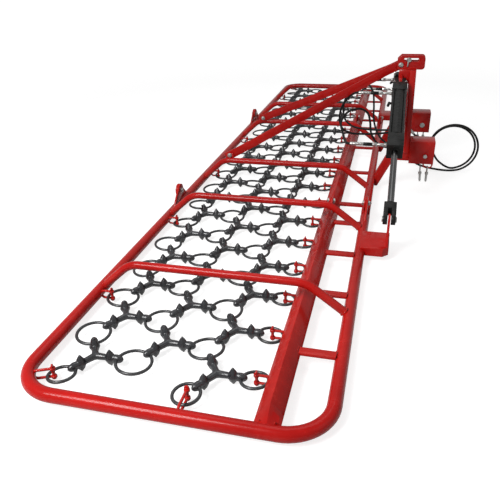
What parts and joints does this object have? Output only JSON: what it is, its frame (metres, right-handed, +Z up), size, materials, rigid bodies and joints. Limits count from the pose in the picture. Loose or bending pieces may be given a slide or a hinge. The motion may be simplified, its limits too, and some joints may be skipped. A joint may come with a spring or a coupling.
{
  "type": "chain harrow",
  "caption": "Tractor-mounted chain harrow: tubular frame with folding wings, spiked link-and-ring mats, a three-point headstock and hydraulic fold rams.",
  "frame": {"origin": "on the ground under the middle of the frame's box (hoses aside), between the rear tube and the front of the link brackets", "axes": "+X ahead towards the tractor, +Y to the left across the harrow's width, +Z up"},
  "size_m": [1.7023, 4.9966, 0.7263],
  "materials": {
    "red_paint": "gloss",
    "cast_iron": "cast, painted black",
    "ram_paint": "satin",
    "bright_steel": "polished",
    "zinc_steel": "zinc plated",
    "hose_rubber": "matt"
  },
  "bodies": {
    "centre": {"centre_rear_tube": "red_paint", "centre_front_member": "red_paint", "centre_mat_beam": "red_paint", "left_centre_hoop": "red_paint", "right_centre_hoop": "red_paint", "centre_mat": "cast_iron", "left_rear_hinge_bolt": "zinc_steel", "right_rear_hinge_bolt": "zinc_steel", "left_beam_hinge_bolt": "zinc_steel", "right_beam_hinge_bolt": "zinc_steel", "left_front_hinge_bolt": "zinc_steel", "right_front_hinge_bolt": "zinc_steel", "left_side_frame": "red_paint", "right_side_frame": "red_paint", "left_link_bracket": "red_paint", "right_link_bracket": "red_paint", "left_mast_upright": "red_paint", "right_mast_upright": "red_paint", "cross_tube": "red_paint", "mast_block": "red_paint", "left_head_plate": "red_paint", "right_head_plate": "red_paint", "left_stay": "red_paint", "right_stay": "red_paint", "head_bolt": "zinc_steel", "left_stay_bolt": "zinc_steel", "right_stay_bolt": "zinc_steel", "left_ram_top_pin": "zinc_steel", "right_ram_top_pin": "zinc_steel", "upper_tee": "zinc_steel", "lower_tee": "zinc_steel", "left_upper_hose": "hose_rubber", "right_upper_hose": "hose_rubber", "left_lower_hose": "hose_rubber", "right_lower_hose": "hose_rubber", "lower_feed_hose": "hose_rubber", "upper_feed_hose": "hose_rubber", "lower_feed_coupler": "zinc_steel", "upper_feed_coupler": "zinc_steel"},
    "left_wing": {"left_wing_tube": "red_paint", "left_wing_mat_beam": "red_paint", "left_outer_hoop": "red_paint", "left_inner_hoop": "red_paint", "left_ram_bracket": "red_paint", "left_wing_mat": "cast_iron"},
    "left_ram_barrel_body": {"left_ram_barrel": "ram_paint"},
    "left_ram_rod_body": {"left_ram_rod": "bright_steel"},
    "left_lower_link_pin_body": {"left_lower_link_pin": "zinc_steel"},
    "left_linch_pin_body": {"left_linch_pin": "zinc_steel"},
    "right_wing": {"right_wing_tube": "red_paint", "right_wing_mat_beam": "red_paint", "right_outer_hoop": "red_paint", "right_inner_hoop": "red_paint", "right_ram_bracket": "red_paint", "right_wing_mat": "cast_iron"},
    "right_ram_barrel_body": {"right_ram_barrel": "ram_paint"},
    "right_ram_rod_body": {"right_ram_rod": "bright_steel"},
    "right_lower_link_pin_body": {"right_lower_link_pin": "zinc_steel"},
    "right_linch_pin_body": {"right_linch_pin": "zinc_steel"},
    "top_link_pin_body": {"top_link_pin": "zinc_steel"}
  },
  "joints": [
    {"name": "left_wing_fold", "type": "hinge", "parent": "centre", "child": "left_wing", "pos_m": [0, 0.895, 0.117], "axis": [1, 0, 0], "range_deg": [0, 75]},
    {"name": "left_ram_swing", "type": "hinge", "parent": "centre", "child": "left_ram_barrel_body", "pos_m": [0.47666, 0.079, 0.581], "axis": [1, 0, 0], "range_deg": [0, 12.01]},
    {"name": "left_ram_slide", "type": "slide", "parent": "left_ram_barrel_body", "child": "left_ram_rod_body", "axis": [0, 0.9518, -0.3066], "range_m": [-0.4093, 0]},
    {"name": "left_lower_link_pin_slide", "type": "slide", "parent": "centre", "child": "left_lower_link_pin_body", "axis": [0, -1, 0], "range_m": [0, 0.145]},
    {"name": "left_linch_pin_swing", "type": "hinge", "parent": "centre", "child": "left_linch_pin_body", "pos_m": [0.67266, 0.396, 0.158], "axis": [1, 0, 0], "range_deg": [-20, 20]},
    {"name": "right_wing_fold", "type": "hinge", "parent": "centre", "child": "right_wing", "pos_m": [0, -0.895, 0.117], "axis": [-1, 0, 0], "range_deg": [0, 75]},
    {"name": "right_ram_swing", "type": "hinge", "parent": "centre", "child": "right_ram_barrel_body", "pos_m": [0.47666, -0.079, 0.581], "axis": [-1, 0, 0], "range_deg": [0, 12.01]},
    {"name": "right_ram_slide", "type": "slide", "parent": "right_ram_barrel_body", "child": "right_ram_rod_body", "axis": [0, -0.9518, -0.3066], "range_m": [-0.4093, 0]},
    {"name": "right_lower_link_pin_slide", "type": "slide", "parent": "centre", "child": "right_lower_link_pin_body", "axis": [0, 1, 0], "range_m": [0, 0.145]},
    {"name": "right_linch_pin_swing", "type": "hinge", "parent": "centre", "child": "right_linch_pin_body", "pos_m": [0.67266, -0.396, 0.158], "axis": [1, 0, 0], "range_deg": [-20, 20]},
    {"name": "top_link_pin_slide", "type": "slide", "parent": "centre", "child": "top_link_pin_body", "axis": [1, 0, 0], "range_m": [-0.02, 0.048]}
  ],
  "couplings": [
    {"joint": "left_ram_swing", "follows": "left_wing_fold", "ratio": 0.15997},
    {"joint": "left_ram_slide", "follows": "left_wing_fold", "m_per_rad": -0.31251},
    {"joint": "right_ram_swing", "follows": "right_wing_fold", "ratio": 0.15997},
    {"joint": "right_ram_slide", "follows": "right_wing_fold", "m_per_rad": -0.31251}
  ]
}
